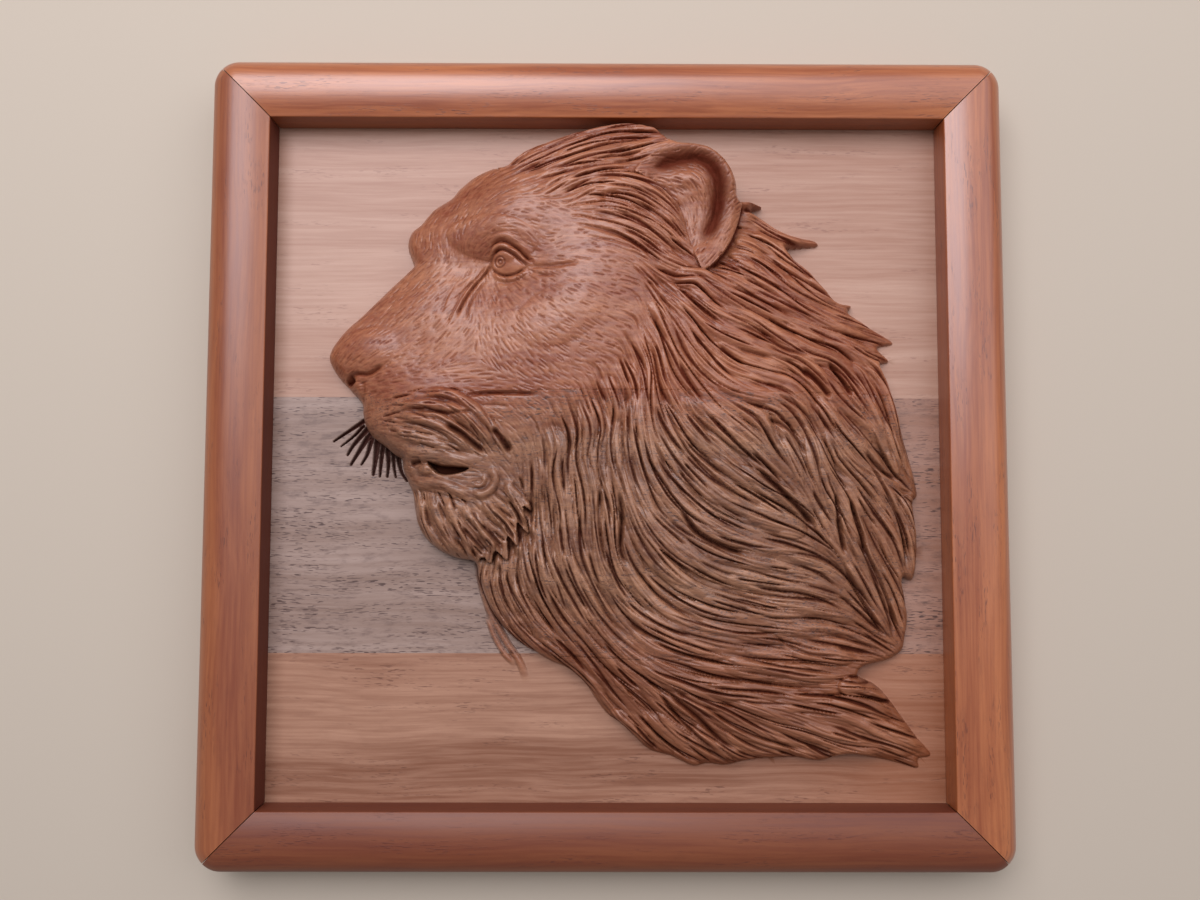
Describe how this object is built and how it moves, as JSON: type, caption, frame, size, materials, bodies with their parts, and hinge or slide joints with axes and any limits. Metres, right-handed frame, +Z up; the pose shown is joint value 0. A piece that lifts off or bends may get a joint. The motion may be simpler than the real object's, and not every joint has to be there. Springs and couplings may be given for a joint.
{
  "type": "carved lion head relief panel",
  "caption": "Square wall panel of glued boards carved in high relief with a lion's head in profile, held in a mitred frame of rounded moulding.",
  "frame": {"origin": "middle of the flat back, at the wall mount, level with the middle of the frame", "axes": "+Y into the wall, +Z up, +X to the right as seen from the front; the carving faces -Y"},
  "size_m": [0.306, 0.0385, 0.3086],
  "materials": {
    "upper_board_wood": "oiled, pinkish tan",
    "middle_board_wood": "oiled, greyish brown with dark pores",
    "lower_board_wood": "oiled, reddish brown",
    "frame_wood": "satin varnish, reddish"
  },
  "bodies": {
    "root": {"upper_board": "upper_board_wood", "middle_board": "middle_board_wood", "lower_board": "lower_board_wood", "frame_top_rail": "frame_wood", "frame_bottom_rail": "frame_wood", "frame_left_stile": "frame_wood", "frame_right_stile": "frame_wood"}
  },
  "joints": []
}
